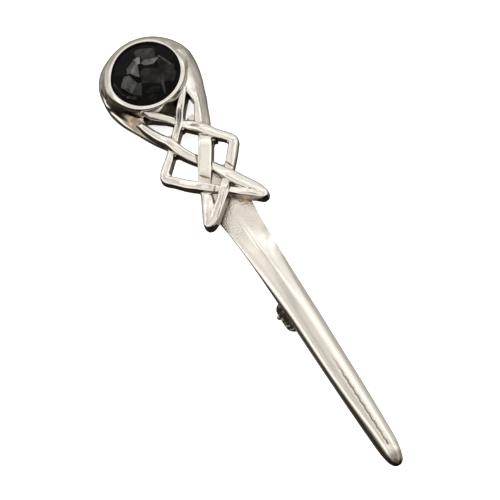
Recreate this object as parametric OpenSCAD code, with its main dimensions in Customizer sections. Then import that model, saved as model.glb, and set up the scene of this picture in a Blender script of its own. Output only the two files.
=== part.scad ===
/* [Head] */
// Diameter of the stone at its girdle
stone_d = 12.7; // [10:0.1:16]
// How far the bezel's lip folds in over the edge of the stone
lip_cover = 0.2; // [0.1:0.05:0.4]
// Thickness of the bezel's wall
bezel_wall = 0.58; // [0.4:0.02:1.2]
// Width of the domed skirt outside the bezel
skirt_w = 2.05; // [1.2:0.1:4]
// Height of the bezel's lip above the back
lip_h = 6; // [5:0.1:8]
// Rise of the stone's table above the lip
stone_rise = 0.5; // [0.2:0.1:1.2]
// Height of the thin rim that runs from the skirt down beside the knot
rim_h = 2.3; // [1.6:0.1:3]

/* [Knot] */
// Length of the knot, from the bezel to the two lower points
knot_run = 25.2; // [22:0.2:32]
// Distance from the middle of the knot to the middle of its side corners
knot_half_w = 6.7; // [6:0.1:8]
// Width of a strand
strand_w = 1.85; // [1.5:0.05:2.1]
// Height of the strands' undersides above the back
strand_base = 1.45; // [0.6:0.05:1.5]
// Height of the strands' tops above the back
strand_top = 3.7; // [3.4:0.1:4.5]
// How much a strand rises or falls where it crosses another
crossing_rise = 0.45; // [0.2:0.05:0.6]

/* [Blade] */
// Length of the blade below the knot
blade_len = 57.8; // [45:0.2:80]
// Widest half width of the blade, at its upper end
blade_half_w = 3.5; // [3:0.1:4.5]
// Thickness of the blade along its crest
blade_h = 2.95; // [2.2:0.05:3.6]

/* [Pin fittings] */
// Diameter of the steel stem
stem_d = 0.9; // [0.7:0.05:1]
// Depth of the stem's axis below the back
stem_depth = 1.95; // [1.8:0.05:2.4]
// Distance from the knot's lower points up to the hinge
hinge_up = 3.7; // [2.5:0.1:6]
// Distance from the hinge to the middle of the catch's foot
hinge_to_catch = 24.4; // [18:0.2:34]
// Length of the stem's ground point
point_len = 7; // [4:0.5:9]
// Diameter of the hinge's rivet
rivet_d = 0.9; // [0.7:0.05:1]
// Thickness of each ear of the hinge
ear_t = 0.7; // [0.5:0.05:1]
// Width of the knuckle between the ears
knuckle_w = 2.4; // [1.8:0.1:3]
// Thickness of the feet soldered to the back
foot_t = 0.6; // [0.4:0.05:0.7]
// Width of the catch's foot
catch_foot_w = 6.2; // [5:0.1:7]
// How far the catch's foot is set to the lever's side
catch_foot_shift = 0.2; // [0:0.05:0.5]
// Length of the catch's foot
catch_foot_len = 6.6; // [5.6:0.1:8]
// Wall of the catch's two rings
ring_wall = 0.45; // [0.35:0.05:0.6]
// Length of the ring nearer to the hinge
front_ring_len = 0.9; // [0.7:0.05:1.2]
// Length of the ring nearer to the stem's point
back_ring_len = 2.6; // [1.4:0.1:3]
// Space between the rings, where the lever moves
ring_gap = 0.9; // [0.7:0.05:1.2]
// Wall of the turning sleeve inside the rings
sleeve_wall = 0.58; // [0.45:0.01:0.7]
// Distance from the stem to the middle of the lever's ball
lever_reach = 3.2; // [2.6:0.1:4]
// Diameter of the lever's ball
ball_d = 0.9; // [0.7:0.05:1.1]

/* [Hidden] */

silver = "#c9c3bb";
dark_silver = "#8a8178";
steel = "#b4b6b8";
jet = "#17181a";

// Gap left at a soldered or set seat
seat_gap = 0.03;
// Radial play of a round part that turns
turn_play = 0.05;
// Play beside the knuckle and the stem
side_play = 0.1;
// Play round the stone inside its cup
stone_play = 0.06;

stone_r = stone_d / 2;
lip_inner_r = stone_r - lip_cover;
cup_r = stone_r + stone_play;
bezel_r = cup_r + bezel_wall;
head_r = bezel_r + skirt_w;
lip_t = 0.25;
ledge_w = 0.5;
girdle_t = 0.5;
// Depth of the girdle's lower edge below the lip
girdle_depth = 1;
cup_floor = 1.4;
head_back_r = head_r - 0.4;

knot_end = bezel_r + knot_run;
tip_y = -(knot_end + blade_len);
hinge_y = -(knot_end - hinge_up);
catch_y = hinge_y - hinge_to_catch;

stem_r = stem_d / 2;
rivet_r = rivet_d / 2;
ear_r = rivet_r + 0.45;
knuckle_r = rivet_r + 0.5;
ear_inner = knuckle_w / 2 + side_play;
hinge_foot_len = 2 * ear_r + 2.6;
sleeve_inner_r = stem_r + 0.07;
sleeve_r = sleeve_inner_r + sleeve_wall;
ring_bore_r = sleeve_r + turn_play;
ring_r = ring_bore_r + ring_wall;
mouth_w = stem_d + 2 * side_play;
lever_r = 0.28;
housing_len = front_ring_len + ring_gap + back_ring_len;
sleeve_len = housing_len - 0.1;
// Places along the blade, counted up from the middle of the catch's foot
housing_top = catch_foot_len / 2 - 0.25;
front_ring_at = housing_top - front_ring_len / 2;
back_ring_at = housing_top - housing_len + back_ring_len / 2;
lever_at = housing_top - front_ring_len - ring_gap / 2;

// The pin lies on the hinge's ears and on the lower edge of its head
drop = [hinge_y - head_back_r, stem_depth];
pitch = asin(ear_r / norm(drop)) + atan(drop[1] / -drop[0]);
skirt_widest_h = 0.2 * lip_h;
nose_h = 0.35 * blade_h;
mid_y = ((head_r + tip_y) * cos(pitch) + (skirt_widest_h + nose_h) * sin(pitch)) / 2;

module laid() {
    translate([0, -mid_y, head_back_r * sin(pitch)])
        rotate([-pitch, 0, 0])
            children();
}

// Joins rings of points, each ring with the same count, into one closed solid.
module loft(rings) {
    n = len(rings[0]);
    last = len(rings) - 1;
    sides = [
        for (i = [0 : last - 1], j = [0 : n - 1])
            let (a = i * n + j, b = i * n + (j + 1) % n)
                each [[a, b + n, b], [a, a + n, b + n]]
    ];
    first_cap = [for (j = [0 : n - 1]) j];
    last_cap = [for (j = [n - 1 : -1 : 0]) last * n + j];
    polyhedron([for (r = rings) each r], concat([first_cap], sides, [last_cap]));
}

function mix(a, b, t) = a + (b - a) * t;
function smooth(t) = let (s = max(0, min(1, t))) s * s * (3 - 2 * s);
// A point at an angle from the head's top, turning to the right
function polar(r, angle) = [r * sin(angle), r * cos(angle)];

/* Outside of the head, from its back up to the lip.
   Columns: dome radius as a share of the skirt, dome height as a share of the lip's,
   and the same two for the bezel's plain wall on the knot's side. */
HEAD_ROWS = [
    [0.80, 0.00, 0.10, 0.00],
    [0.92, 0.05, 0.12, 0.05],
    [1.00, 0.20, 0.12, 0.20],
    [0.99, 0.33, 0.11, 0.33],
    [0.92, 0.48, 0.09, 0.48],
    [0.79, 0.63, 0.07, 0.63],
    [0.58, 0.77, 0.05, 0.77],
    [0.33, 0.88, 0.03, 0.88],
    [0.10, 0.95, 0.01, 0.95],
    [-0.05, 0.975, -0.05, 0.975],
    [-0.16, 0.965, -0.16, 0.965],
    [-0.22, 1.00, -0.22, 1.00],
    [-0.34, 1.00, -0.34, 1.00]
];
head_steps = 72;
// Angles from the head's top between which the dome gives way to the plain wall
dome_end = 72;
wall_start = 120;

function head_point(row, angle) =
    let (away = abs(angle > 180 ? 360 - angle : angle),
         t = smooth((away - dome_end) / (wall_start - dome_end)),
         r = bezel_r + skirt_w * mix(row[0], row[2], t),
         z = lip_h * mix(row[1], row[3], t))
        [each polar(r, angle), z];

module head_shell() {
    loft([for (row = HEAD_ROWS)
        [for (i = [0 : head_steps - 1]) head_point(row, -i * 360 / head_steps + 360)]]);
}

/* The thin rim on each side, which carries the head's outline down to the knot.
   Columns: place along as a share of the rim's run, left and right outer edges and inner
   edge as shares of the head's radius, and height of the inner side as a share of the lip's. */
RIM_ROWS = [
    [-0.10, 0.975, 1.000, 0.730, 0.43],
    [0.04, 0.970, 0.995, 0.730, 0.43],
    [0.18, 0.935, 0.957, 0.690, 0.45],
    [0.32, 0.880, 0.904, 0.620, 0.48],
    [0.45, 0.809, 0.844, 0.575, 0.51],
    [0.59, 0.724, 0.785, 0.560, 0.53],
    [0.73, 0.639, 0.708, 0.505, 0.53],
    [0.87, 0.548, 0.635, 0.430, 0.52],
    [1.00, 0.445, 0.559, 0.350, 0.48],
    [1.07, 0.400, 0.490, 0.340, 0.45]
];
/* Section of the rim. Columns: place from its inner edge (0) to its outer edge (1), height as a
   share of the rim's, and share of the inner side's height that is used instead. */
RIM_SECTION = [
    [0.00, 0.00, 0],
    [0.88, 0.00, 0],
    [1.00, 0.20, 0],
    [1.00, 0.72, 0],
    [0.94, 0.92, 0],
    [0.80, 1.00, 0],
    [0.62, 0.98, 0],
    [0.40, 1.02, 0.3],
    [0.18, 1.00, 0.75],
    [0.00, 1.00, 1]
];
rim_run = bezel_r + 0.227 * knot_run;

function rim_ring(row, side) =
    let (out = row[side] * head_r,
         in = row[3] * head_r,
         underside = 0.35 * rim_h * smooth(row[0]),
         high = row[4] * lip_h)
        [for (p = RIM_SECTION)
            [mix(in, out, p[0]), -row[0] * rim_run, max(mix(p[1] * rim_h, high, p[2]), underside)]];

module rim(side) {
    loft([for (row = RIM_ROWS) rim_ring(row, side)]);
}

/* Routes of the two strands through the knot.
   Columns: across as a share of the knot's half width, along as a share of its run,
   level where it is 1 over a crossing, -1 under one and 0 between, and shares of the
   strand's width and of the underside's height. */
LEFT_ROWS = [
    [-0.769, 0.018, 0.0, 0.57, 1.00],
    [-0.693, 0.088, 0.1, 0.62, 1.00],
    [-0.587, 0.161, 0.4, 0.81, 1.00],
    [-0.437, 0.234, 0.9, 1.00, 1.03],
    [-0.379, 0.291, 1.0, 1.05, 1.10],
    [-0.325, 0.336, 0.7, 1.00, 1.03],
    [-0.256, 0.373, 0.2, 0.95, 1.00],
    [-0.164, 0.415, -0.4, 0.95, 1.00],
    [0.045, 0.498, -1.1, 0.95, 1.00],
    [0.215, 0.573, -0.6, 1.00, 1.03],
    [0.311, 0.630, 0.3, 1.08, 1.24],
    [0.442, 0.698, 0.9, 1.11, 1.34],
    [0.553, 0.760, 0.9, 1.08, 1.34],
    [0.696, 0.830, 0.9, 1.05, 1.31],
    [0.843, 0.908, 0.8, 1.05, 1.28],
    [0.883, 0.968, 0.7, 1.03, 1.28],
    [0.726, 0.935, 0.7, 0.89, 1.28],
    [0.462, 0.868, 0.6, 0.89, 1.24],
    [0.290, 0.812, -0.2, 0.89, 1.10],
    [0.121, 0.765, -1.1, 0.86, 1.00],
    [-0.112, 0.732, 0.1, 0.95, 1.31],
    [-0.284, 0.691, 0.9, 1.00, 1.59],
    [-0.438, 0.648, 0.8, 1.00, 1.41],
    [-0.635, 0.595, 0.2, 1.00, 1.34],
    [-0.834, 0.527, -0.3, 0.97, 1.28],
    [-1.034, 0.456, -0.4, 0.97, 1.14],
    [-0.976, 0.422, -0.4, 0.97, 1.03],
    [-0.844, 0.383, -0.6, 0.95, 1.00],
    [-0.681, 0.342, -0.8, 0.89, 0.97],
    [-0.419, 0.269, -1.2, 0.86, 0.93],
    [-0.232, 0.214, -0.8, 0.84, 1.00],
    [-0.135, 0.189, -0.2, 0.84, 1.03],
    [-0.001, 0.160, 0.3, 0.84, 1.10],
    [0.115, 0.124, 0.9, 0.81, 1.24],
    [0.248, 0.065, 1.2, 0.76, 1.24],
    [0.448, 0.002, 1.9, 0.76, 1.24]
];
RIGHT_ROWS = [
    [0.819, 0.018, 0.0, 0.57, 1.00],
    [0.726, 0.088, 0.1, 0.62, 1.00],
    [0.607, 0.156, 0.0, 0.81, 1.00],
    [0.514, 0.212, -0.7, 0.92, 1.00],
    [0.468, 0.273, -1.1, 0.97, 1.00],
    [0.408, 0.346, 0.3, 1.05, 1.00],
    [0.302, 0.400, 0.9, 1.08, 1.03],
    [0.178, 0.457, 1.0, 1.08, 1.03],
    [0.057, 0.512, 1.0, 1.08, 1.03],
    [-0.067, 0.568, 1.0, 1.08, 1.03],
    [-0.174, 0.616, 0.7, 1.03, 1.03],
    [-0.288, 0.671, -1.1, 0.92, 1.00],
    [-0.375, 0.724, -0.7, 0.97, 1.10],
    [-0.468, 0.787, 0.1, 1.03, 1.17],
    [-0.578, 0.854, 0.6, 1.03, 1.21],
    [-0.682, 0.910, 0.7, 1.03, 1.21],
    [-0.730, 0.953, 0.7, 1.03, 1.21],
    [-0.542, 0.935, 0.7, 0.89, 1.24],
    [-0.380, 0.901, 0.7, 0.89, 1.28],
    [-0.197, 0.863, 0.8, 0.89, 1.31],
    [-0.007, 0.820, 1.0, 0.89, 1.38],
    [0.165, 0.764, 0.9, 0.89, 1.38],
    [0.244, 0.728, 0.1, 0.89, 1.24],
    [0.404, 0.675, -1.1, 0.86, 1.00],
    [0.565, 0.625, -0.6, 0.92, 1.10],
    [0.740, 0.570, -0.3, 0.97, 1.21],
    [0.877, 0.522, -0.3, 0.97, 1.24],
    [1.006, 0.468, -0.3, 0.97, 1.31],
    [0.903, 0.417, -0.2, 1.03, 1.45],
    [0.728, 0.366, 0.2, 1.08, 1.45],
    [0.599, 0.323, 0.8, 1.08, 1.45],
    [0.506, 0.284, 1.0, 1.05, 1.45],
    [0.360, 0.232, 0.7, 0.97, 1.31],
    [0.220, 0.192, 0.1, 0.89, 1.17],
    [0.064, 0.128, -0.8, 0.81, 1.10],
    [-0.112, 0.074, 0.1, 0.73, 1.28],
    [-0.275, 0.031, 0.8, 0.70, 1.28],
    [-0.415, -0.010, 1.6, 0.70, 1.28]
];
// Where the strands leave the head: angle from the knot's middle line, distance outside the bezel, height
LEFT_START = [-49, 0.35, 3.3];
LEFT_END = [39.5, -0.15, 4.9];
RIGHT_START = [49.6, 0.36, 3.52];
RIGHT_END = [-30.5, -0.15, 4.9];

function knot_post(row) =
    [row[0] * knot_half_w, -(bezel_r + row[1] * knot_run), strand_top + row[2] * crossing_rise,
     row[3] * strand_w, row[4] * strand_base];
function head_post(end) =
    let (p = polar(bezel_r + end[1], 180 - end[0])) [p[0], p[1], end[2], 0.66 * strand_w, strand_base];

// A round post with a softened top edge, whose row is across, along, top, width and underside.
module post(p) {
    soft = 0.2 * p[3];
    tall = p[2] - p[4];
    translate([p[0], p[1], p[4]]) {
        cylinder(d = p[3], h = tall - 1.1 * soft, $fn = 14);
        cylinder(d = p[3] - 0.7 * soft, h = tall - 0.35 * soft, $fn = 14);
        cylinder(d = p[3] - 2.4 * soft, h = tall, $fn = 14);
    }
}

module strand(start, rows, end) {
    posts = [head_post(start), for (row = rows) knot_post(row), head_post(end)];
    for (i = [0 : len(posts) - 2])
        hull() {
            post(posts[i]);
            post(posts[i + 1]);
        }
}

/* The blade's tongue behind the knot.
   Columns: along as a share of the knot's run, left and right edges as shares of the blade's
   half width, crest as a share of its thickness, and height of the lower edge. */
TONGUE_ROWS = [
    [0.590, 0.06, 0.30, 0.58],
    [0.675, 0.46, 0.56, 0.64],
    [0.754, 0.80, 0.88, 0.67],
    [0.833, 0.93, 1.03, 0.67],
    [0.913, 0.93, 1.07, 0.66],
    [1.000, 0.86, 1.02, 0.64]
];
// The blade itself, with its place along as a share of its length.
BLADE_ROWS = [
    [0.031, 0.81, 0.98, 0.65, 0],
    [0.083, 0.755, 0.95, 0.70, 0],
    [0.152, 0.71, 0.925, 0.79, 0],
    [0.239, 0.68, 0.89, 0.88, 0],
    [0.377, 0.65, 0.85, 0.95, 0],
    [0.550, 0.635, 0.785, 0.985, 0],
    [0.723, 0.605, 0.715, 1.00, 0],
    [0.862, 0.555, 0.63, 0.985, 0],
    [0.931, 0.515, 0.57, 0.94, 0],
    [0.965, 0.44, 0.47, 0.87, 0.02],
    [0.986, 0.30, 0.31, 0.72, 0.08],
    [0.996, 0.15, 0.16, 0.55, 0.18],
    [1.000, 0.04, 0.04, 0.42, 0.28]
];
blade_edge = 0.34;
arch_steps = 10;

function blade_ring(y, left, right, crest, low) =
    let (mid = (right - left) * blade_half_w / 2,
         half = (right + left) * blade_half_w / 2,
         bottom = low * blade_h,
         top = crest * blade_h,
         edge = mix(bottom, top, blade_edge))
        [
            [mid - half * 0.93, y, bottom],
            [mid + half * 0.93, y, bottom],
            for (i = [0 : arch_steps])
                let (a = i * 180 / arch_steps)
                    [mid + half * cos(a), y, edge + (top - edge) * pow(sin(a), 0.75)]
        ];

module blade() {
    rings = [
        for (r = TONGUE_ROWS) blade_ring(-(bezel_r + r[0] * knot_run), r[1], r[2], r[3], 0),
        for (r = BLADE_ROWS) blade_ring(-(knot_end + r[0] * blade_len), r[1], r[2], r[3], r[4])
    ];
    loft(rings);
}

module stone_cup() {
    translate([0, 0, lip_h - lip_t])
        cylinder(r = lip_inner_r, h = 1, $fn = head_steps);
    translate([0, 0, lip_h - girdle_depth])
        cylinder(r = cup_r, h = girdle_depth - lip_t + 0.01, $fn = head_steps);
    translate([0, 0, cup_floor])
        cylinder(r = cup_r - ledge_w, h = lip_h - cup_floor - girdle_depth + 0.01, $fn = head_steps);
}

module cast_body() {
    color(silver)
        laid() {
            difference() {
                union() {
                    head_shell();
                    rim(2);
                    mirror([1, 0, 0]) rim(1);
                    strand(LEFT_START, LEFT_ROWS, LEFT_END);
                    strand(RIGHT_START, RIGHT_ROWS, RIGHT_END);
                }
                stone_cup();
            }
            blade();
        }
}

// Lines along which the stone's crown is cut, in two directions, as shares of its radius
FACET_ACROSS = [-1.35, -0.66, -0.31, -0.08, 0.44, 0.79, 1.35];
FACET_ALONG = [-1.35, -0.72, -0.41, 0.02, 0.35, 0.68, 1.35];
facet_turn = -29;
// Fall of the crown from its middle to its girdle
crown_fall = 0.9;

function crown_point(x, y) =
    [x * stone_r, y * stone_r, lip_h + stone_rise - crown_fall * (x * x + y * y)];

module stone() {
    girdle_z = lip_h - girdle_depth + seat_gap;
    culet_z = cup_floor + 0.8;
    color(jet)
        laid() {
            intersection() {
                rotate([0, 0, facet_turn])
                    hull() {
                        for (x = FACET_ACROSS, y = FACET_ALONG)
                            translate(crown_point(x, y)) cube(0.001);
                        translate([-2 * stone_r, -2 * stone_r, girdle_z - 4])
                            cube([4 * stone_r, 4 * stone_r, 0.1]);
                    }
                translate([0, 0, girdle_z])
                    cylinder(r = stone_r, h = lip_h, $fn = head_steps);
            }
            translate([0, 0, culet_z])
                cylinder(r1 = 1.2, r2 = cup_r - ledge_w - 0.15, h = girdle_z - culet_z, $fn = head_steps);
        }
}

// A plate with rounded corners, hanging below the back.
module foot(w, length, corner) {
    translate([0, 0, -seat_gap - foot_t])
        linear_extrude(foot_t) {
            square([w - 2 * corner, length], center = true);
            square([w, length - 2 * corner], center = true);
            for (x = [-1, 1], y = [-1, 1])
                translate([x * (w / 2 - corner), y * (length / 2 - corner)])
                    circle(r = corner, $fn = 48);
        }
}

module hinge_bracket() {
    w = 2 * (ear_inner + ear_t);
    color(dark_silver)
        laid()
            translate([0, hinge_y, 0])
                difference() {
                    union() {
                        foot(w + 0.6, hinge_foot_len, 0.5);
                        for (side = [-1, 1])
                            translate([side * (ear_inner + ear_t / 2), 0, 0]) {
                                translate([-ear_t / 2, -ear_r, -stem_depth])
                                    cube([ear_t, 2 * ear_r, stem_depth - seat_gap - foot_t / 2]);
                                translate([0, 0, -stem_depth])
                                    rotate([0, 90, 0])
                                        cylinder(r = ear_r, h = ear_t, center = true, $fn = 48);
                            }
                    }
                    translate([0, 0, -stem_depth])
                        rotate([0, 90, 0])
                            cylinder(r = rivet_r + 0.02, h = w + 2, center = true, $fn = 48);
                }
}

module hinge_rivet() {
    shank = 2 * (ear_inner + ear_t + seat_gap);
    rivet_head_t = 0.3;
    color(steel)
        laid()
            translate([0, hinge_y, -stem_depth])
                rotate([0, 90, 0]) {
                    cylinder(r = rivet_r, h = shank, center = true, $fn = 48);
                    for (side = [0, 1])
                        mirror([0, 0, side])
                            translate([0, 0, shank / 2])
                                cylinder(r1 = rivet_r + 0.22, r2 = rivet_r, h = rivet_head_t, $fn = 48);
                }
}

module pin_stem() {
    tip_past_catch = 1.4;
    stem_end = hinge_to_catch - housing_top + housing_len + tip_past_catch;
    color(steel)
        laid()
            translate([0, hinge_y, -stem_depth])
                difference() {
                    union() {
                        rotate([0, 90, 0])
                            cylinder(r = knuckle_r, h = knuckle_w, center = true, $fn = 48);
                        rotate([90, 0, 0])
                            cylinder(r = stem_r, h = stem_end - point_len, $fn = 48);
                        translate([0, -(stem_end - point_len), 0])
                            rotate([90, 0, 0])
                                cylinder(r1 = stem_r, r2 = 0.07, h = point_len, $fn = 48);
                    }
                    rotate([0, 90, 0])
                        cylinder(r = rivet_r + turn_play, h = knuckle_w + 1, center = true, $fn = 48);
                }
}

// One ring of the catch, open towards the cloth, on its saddle.
module catch_ring(length) {
    saddle_w = 1.3 * ring_bore_r;
    difference() {
        union() {
            translate([0, 0, -stem_depth])
                rotate([90, 0, 0])
                    cylinder(r = ring_r, h = length, center = true, $fn = 64);
            translate([-saddle_w / 2, -length / 2, -stem_depth])
                cube([saddle_w, length, stem_depth - foot_t / 2]);
        }
        translate([0, 0, -stem_depth])
            rotate([90, 0, 0])
                cylinder(r = ring_bore_r, h = length + 1, center = true, $fn = 64);
        translate([-mouth_w / 2, -length, -stem_depth - 2 * ring_r])
            cube([mouth_w, 2 * length, 2 * ring_r]);
        translate([-2 * ring_r, -length, -seat_gap - foot_t / 2])
            cube([4 * ring_r, 2 * length, 2 * ring_r]);
    }
}

module catch_housing() {
    color(dark_silver)
        laid()
            translate([0, catch_y, 0]) {
                translate([-catch_foot_shift, 0, 0]) foot(catch_foot_w, catch_foot_len, 1.9);
                translate([0, front_ring_at, 0]) catch_ring(front_ring_len);
                translate([0, back_ring_at, 0]) catch_ring(back_ring_len);
            }
}

module catch_sleeve() {
    color(dark_silver)
        laid()
            translate([0, catch_y, -stem_depth]) {
                difference() {
                    union() {
                        translate([0, housing_top - housing_len / 2, 0])
                            rotate([90, 0, 0])
                                cylinder(r = sleeve_r, h = sleeve_len, center = true, $fn = 64);
                        translate([-lever_reach, lever_at, 0])
                            rotate([0, 90, 0])
                                cylinder(r = lever_r, h = lever_reach - sleeve_inner_r - 0.1, $fn = 32);
                    }
                    rotate([90, 0, 0])
                        cylinder(r = sleeve_inner_r, h = 3 * housing_len, center = true, $fn = 64);
                    translate([-sleeve_inner_r, -2 * housing_len, -3 * sleeve_r])
                        cube([2 * sleeve_inner_r, 4 * housing_len, 3 * sleeve_r]);
                }
                translate([-lever_reach, lever_at, 0])
                    rotate([0, 90, 0])
                        intersection() {
                            sphere(d = ball_d, $fn = 32);
                            cube([2 * ball_d, 2 * ball_d, 0.96 * ball_d], center = true);
                        }
            }
}

cast_body();
stone();
hinge_bracket();
hinge_rivet();
catch_housing();
pin_stem();
catch_sleeve();
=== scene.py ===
import math
import bpy
import numpy as np
from mathutils import Matrix, Vector


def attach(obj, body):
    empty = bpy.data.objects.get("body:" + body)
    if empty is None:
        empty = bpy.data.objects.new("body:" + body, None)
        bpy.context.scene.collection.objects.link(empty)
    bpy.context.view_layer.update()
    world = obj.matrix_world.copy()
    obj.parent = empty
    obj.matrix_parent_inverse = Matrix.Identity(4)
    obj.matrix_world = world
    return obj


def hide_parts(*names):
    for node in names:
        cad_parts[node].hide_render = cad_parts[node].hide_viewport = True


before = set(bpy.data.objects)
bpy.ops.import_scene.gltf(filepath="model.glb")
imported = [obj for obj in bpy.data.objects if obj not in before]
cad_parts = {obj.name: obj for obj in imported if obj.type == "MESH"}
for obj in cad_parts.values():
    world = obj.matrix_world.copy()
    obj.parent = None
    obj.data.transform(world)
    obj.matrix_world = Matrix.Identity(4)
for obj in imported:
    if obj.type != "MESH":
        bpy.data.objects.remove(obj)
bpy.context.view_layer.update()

# The head of the casting: a folded lip round the stone, a bezel wall, and a skirt that sweeps down to
# a thin rim on each side. It is cast in a tin and zinc alloy in one with the knot, then polished.
# Sizes here are in millimetres in the plane of the face, with the stone's middle at the origin.
BEZEL_R = 6.99
SKIRT_W = 2.05
HEAD_R = BEZEL_R + SKIRT_W
LIP_H = 6.0
KNOT_RUN = 25.2
PITCH = math.radians(4.39333)
LYING = (Matrix.Translation((0, 0.0402706, 0.00066185)) @ Matrix.Rotation(-PITCH, 4, "X")
         @ Matrix.Scale(0.001, 4))


def eased(rows, gap):
    """The rows with more rows between them, on a curve through them; the first two columns are places."""
    rows = np.asarray(rows, float)
    padded = np.vstack([2 * rows[0] - rows[1], rows, 2 * rows[-1] - rows[-2]])
    out = []
    for i in range(1, len(padded) - 2):
        p = padded[i - 1:i + 3]
        gaps = np.linalg.norm(np.diff(p[:, :2], axis=0), axis=1)
        t = np.concatenate([[0], np.cumsum(np.sqrt(gaps + 1e-9))])
        steps = max(1, round(float(np.linalg.norm(p[2, :2] - p[1, :2])) / gap))
        for s in t[1] + (t[2] - t[1]) * np.arange(steps) / steps:
            a = [p[k] + (p[k + 1] - p[k]) * (s - t[k]) / (t[k + 1] - t[k]) for k in range(3)]
            b = [a[k] + (a[k + 1] - a[k]) * (s - t[k]) / (t[k + 2] - t[k]) for k in range(2)]
            out.append(b[0] + (b[1] - b[0]) * (s - t[1]) / (t[2] - t[1]))
    out.append(rows[-1])
    return np.array(out)


def smooth(x, low, high):
    t = np.clip((x - low) / (high - low), 0, 1)
    return t * t * (3 - 2 * t)


def rolled_sheet(name, rings):
    """A squared sheet is rolled round the rings' points, its seam is joined and its two ends are closed."""
    rings = np.asarray(rings, float)
    lengths, around = rings.shape[:2]
    bpy.ops.object.select_all(action="DESELECT")
    bpy.ops.mesh.primitive_grid_add(x_subdivisions=around, y_subdivisions=lengths - 1, size=2)
    sheet = bpy.context.object
    sheet.name = sheet.data.name = name
    flat = np.empty(len(sheet.data.vertices) * 3)
    sheet.data.vertices.foreach_get("co", flat)
    flat = flat.reshape(-1, 3)
    row = np.rint((flat[:, 1] + 1) / 2 * (lengths - 1)).astype(int)
    column = np.rint((flat[:, 0] + 1) / 2 * around).astype(int) % around
    sheet.data.vertices.foreach_set("co", rings[row, column].ravel())
    bpy.ops.object.mode_set(mode="EDIT")
    bpy.ops.mesh.select_mode(type="VERT")
    bpy.ops.mesh.select_all(action="SELECT")
    bpy.ops.mesh.remove_doubles(threshold=0.0004)
    bpy.ops.mesh.select_all(action="DESELECT")
    bpy.ops.mesh.select_non_manifold(extend=False, use_wire=False, use_multi_face=False,
                                     use_non_contiguous=False, use_verts=False)
    bpy.ops.mesh.fill_holes(sides=0)
    bpy.ops.mesh.select_all(action="SELECT")
    bpy.ops.mesh.normals_make_consistent(inside=False)
    bpy.ops.mesh.select_all(action="DESELECT")
    bpy.ops.object.mode_set(mode="OBJECT")
    return sheet


def cast_in_one(name, pieces, voxel, keep):
    """Overlapping pieces become one skin with soft inner corners, as a casting has, with fewer faces."""
    bpy.ops.object.select_all(action="DESELECT")
    for piece in pieces:
        piece.select_set(True)
    bpy.context.view_layer.objects.active = pieces[0]
    bpy.ops.object.join()
    casting = bpy.context.object
    casting.name = casting.data.name = name
    steps = [("REMESH", dict(mode="VOXEL", voxel_size=voxel, use_smooth_shade=True)),
             ("SMOOTH", dict(factor=0.5, iterations=5)),
             ("DECIMATE", dict(ratio=keep))]
    for kind, values in steps:
        modifier = casting.modifiers.new(kind.lower(), kind)
        for key, value in values.items():
            setattr(modifier, key, value)
        bpy.ops.object.modifier_apply(modifier=modifier.name)
    return casting


def lay_down(piece):
    """The piece goes from the plane of the face to where it lies, and its place goes into its mesh."""
    bpy.ops.object.select_all(action="DESELECT")
    piece.select_set(True)
    bpy.context.view_layer.objects.active = piece
    piece.matrix_world = LYING
    bpy.ops.object.transform_apply(location=True, rotation=True, scale=True)
    bpy.ops.object.shade_smooth()
    return piece


# Skirt and lip from the back up to the cup: reach and height of the dome, the left side, the right side
# and the plain wall, as shares of the skirt's width and of the lip's height.
HEAD_ROWS = [
    (0.80, 0.00, 0.80, 0.00, 0.80, 0.00, 0.10, 0.00),
    (0.93, 0.05, 0.95, 0.05, 0.95, 0.05, 0.12, 0.05),
    (1.00, 0.15, 1.00, 0.14, 0.995, 0.17, 0.12, 0.16),
    (1.00, 0.25, 0.997, 0.245, 0.995, 0.33, 0.11, 0.27),
    (0.97, 0.35, 0.975, 0.318, 0.97, 0.45, 0.10, 0.39),
    (0.90, 0.46, 0.88, 0.362, 0.91, 0.54, 0.09, 0.51),
    (0.79, 0.57, 0.76, 0.378, 0.80, 0.62, 0.08, 0.64),
    (0.64, 0.68, 0.65, 0.392, 0.66, 0.69, 0.07, 0.75),
    (0.46, 0.78, 0.54, 0.49, 0.50, 0.745, 0.06, 0.85),
    (0.27, 0.865, 0.43, 0.66, 0.34, 0.795, 0.05, 0.92),
    (0.09, 0.94, 0.34, 0.845, 0.19, 0.845, 0.03, 0.955),
    (-0.05, 0.974, 0.20, 0.935, 0.05, 0.895, -0.02, 0.985),
    (-0.16, 0.992, 0.02, 0.970, -0.09, 0.945, -0.12, 0.994),
    (-0.22, 0.996, -0.16, 0.991, -0.20, 0.980, -0.20, 0.999),
    (-0.27, 1.00, -0.27, 1.00, -0.27, 1.00, -0.27, 1.00),
    (-0.315, 0.995, -0.315, 0.995, -0.315, 0.995, -0.315, 0.995),
    (-0.355, 0.978, -0.355, 0.978, -0.355, 0.978, -0.355, 0.978),
    (-0.385, 0.945, -0.385, 0.945, -0.385, 0.945, -0.385, 0.945),
    (-0.39, 0.88, -0.39, 0.88, -0.39, 0.88, -0.39, 0.88),
    (-0.385, 0.70, -0.385, 0.70, -0.385, 0.70, -0.385, 0.70),
    (-0.40, 0.40, -0.40, 0.40, -0.40, 0.40, -0.40, 0.40),
    (-0.60, 0.24, -0.60, 0.24, -0.60, 0.24, -0.60, 0.24),
]
turns = np.arange(240) * 2 * math.pi / 240
away = np.degrees(np.minimum(turns, 2 * math.pi - turns))
to_side = smooth(away, 42, 86)
on_right = turns < math.pi
to_wall = smooth(away, 84, 122)
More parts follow.
